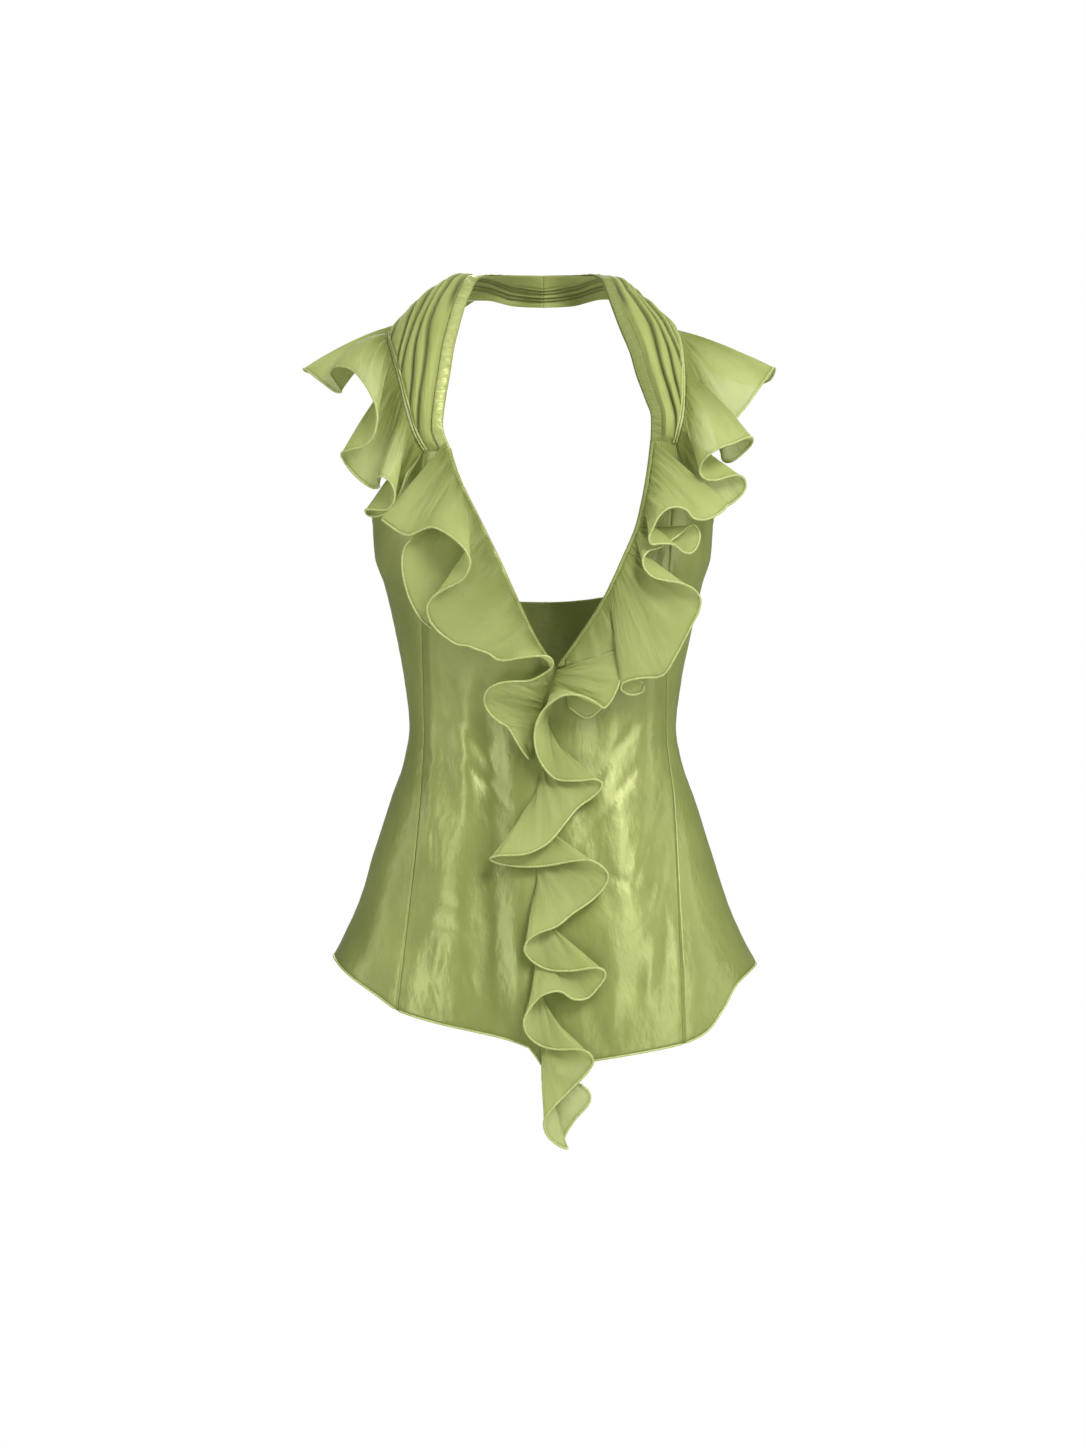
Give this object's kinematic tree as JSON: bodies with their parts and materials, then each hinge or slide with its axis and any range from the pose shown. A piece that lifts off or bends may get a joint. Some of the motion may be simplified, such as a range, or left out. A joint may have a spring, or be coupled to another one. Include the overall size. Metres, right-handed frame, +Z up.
{
  "type": "halter top",
  "caption": "Sleeveless halter top in satin with pleated georgette yokes and ruffles round shoulders, V neck and centre front, hollow as worn.",
  "frame": {"origin": "middle of the halter at the nape of the neck, where the top is held when it is worn", "axes": "+Z up, -Y to the wearer's front, +X to the wearer's left"},
  "size_m": [0.3985, 0.2644, 0.7339],
  "materials": {
    "satin": "shiny silk satin",
    "georgette": "matte, slightly sheer silk georgette",
    "binding": "shiny satin band with two rows of stitching"
  },
  "bodies": {
    "root": {"front_panel_right": "satin", "front_panel_left": "satin", "side_panel_right": "satin", "side_panel_left": "satin", "back_panel": "satin", "halter_right": "georgette", "halter_left": "georgette", "neck_band_right": "binding", "neck_band_left": "binding", "neck_ruffle_right": "georgette", "neck_ruffle_left": "georgette", "front_ruffle": "georgette", "shoulder_ruffle_right": "georgette", "shoulder_ruffle_left": "georgette"}
  },
  "joints": []
}
